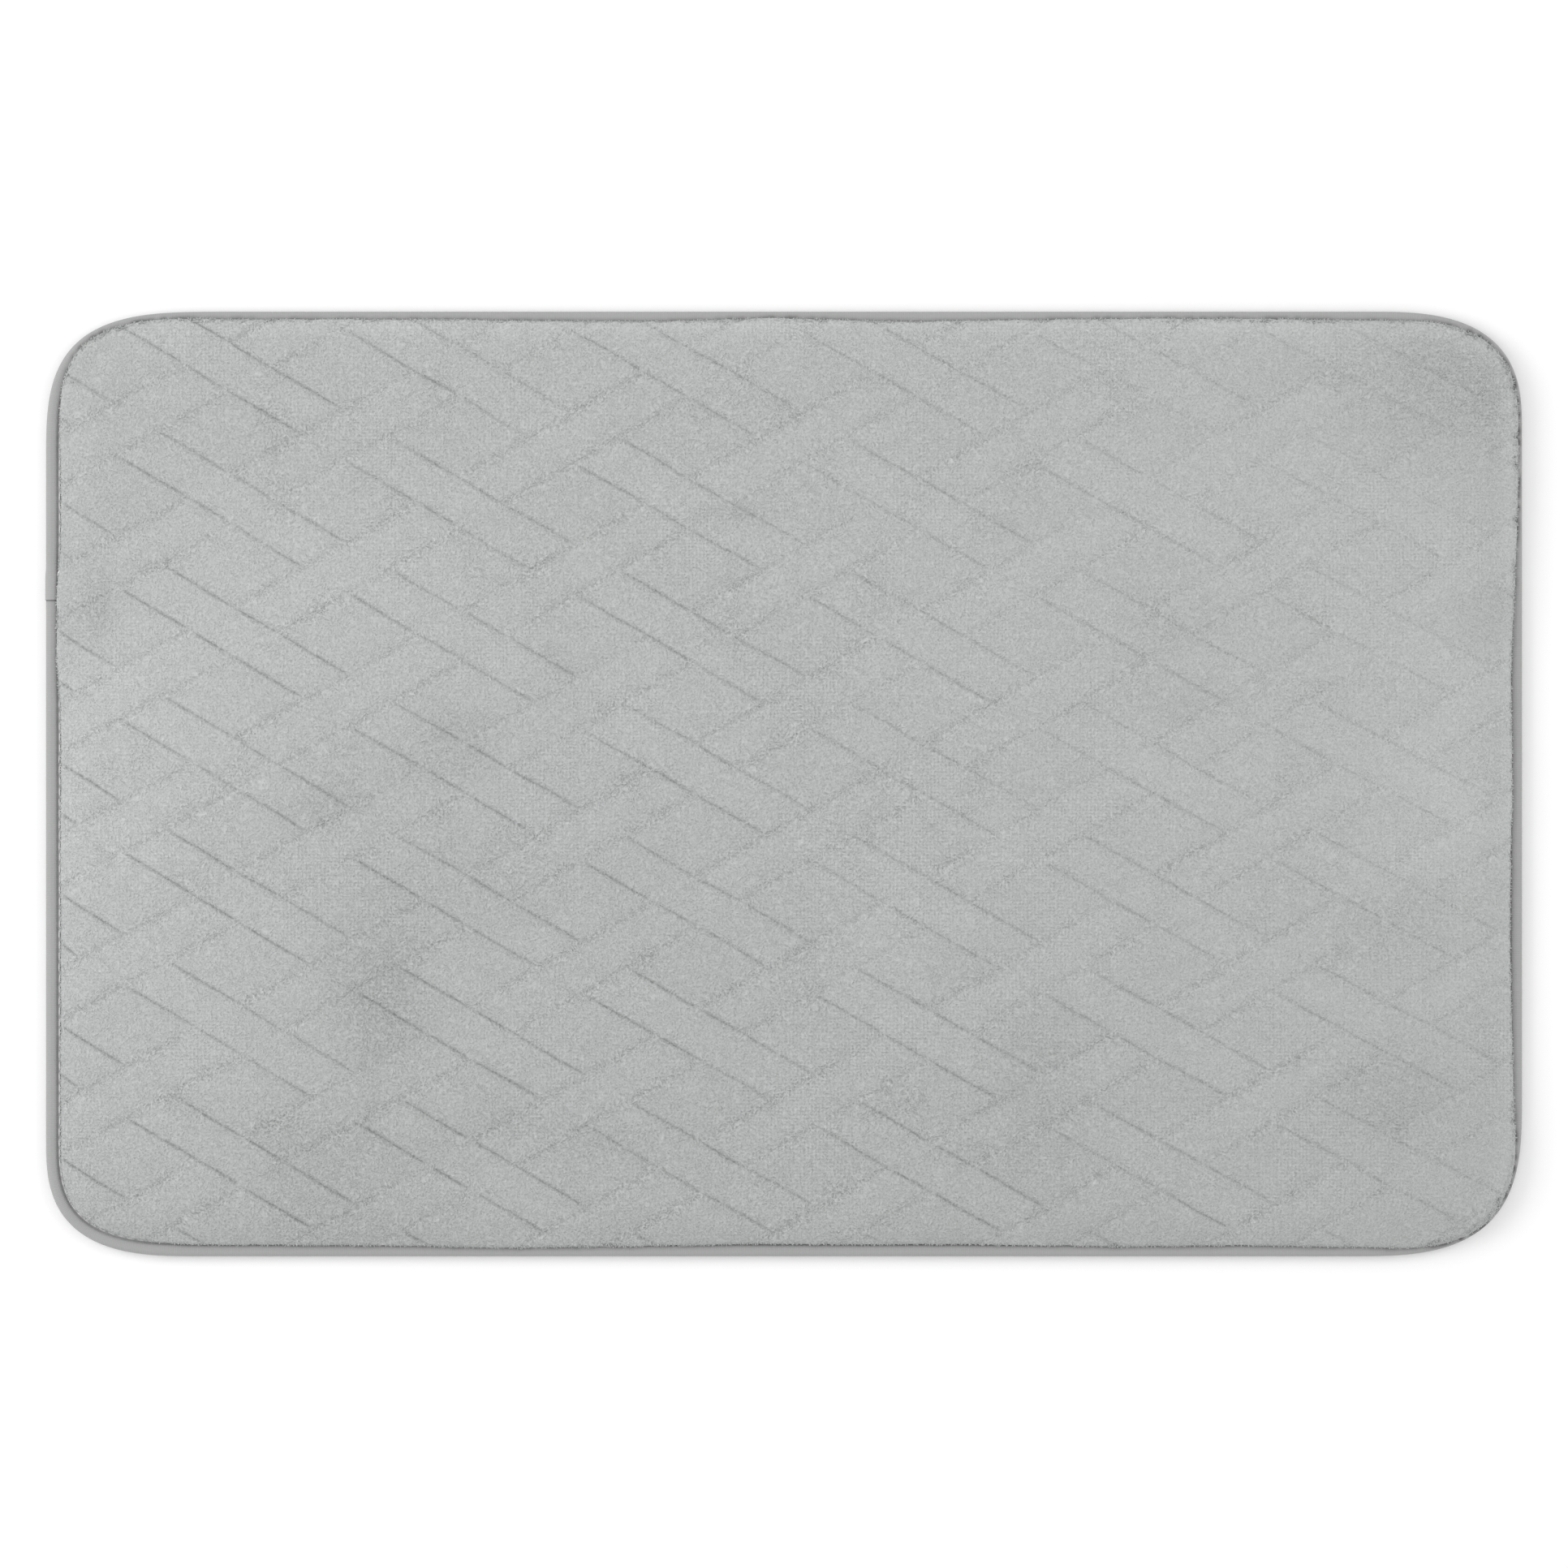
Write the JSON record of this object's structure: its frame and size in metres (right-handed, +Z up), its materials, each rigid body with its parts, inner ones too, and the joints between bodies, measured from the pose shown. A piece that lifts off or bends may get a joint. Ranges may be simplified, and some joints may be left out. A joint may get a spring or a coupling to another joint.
{
  "type": "bath mat",
  "caption": "Rounded rectangular cushioned bath mat: embossed plush face over a foam core, with a dotted grip backing and a stitched tape binding.",
  "frame": {"origin": "middle of the mat's plan, on the surface that it lies on", "axes": "+X along the mat's long side to the right as seen from above, +Y to the back long side, +Z up out of the plush face"},
  "size_m": [0.7, 0.448, 0.015],
  "materials": {
    "grip_backing": "matte",
    "foam": "matte",
    "pile": "matte",
    "binding_tape": "matte",
    "thread": "satin",
    "label_satin": "satin"
  },
  "bodies": {
    "root": {"grip_backing": "grip_backing", "foam_core": "foam", "pile_face": "pile", "edge_binding": "binding_tape", "needle_thread": "thread", "bobbin_thread": "thread", "care_label": "label_satin"}
  },
  "joints": []
}
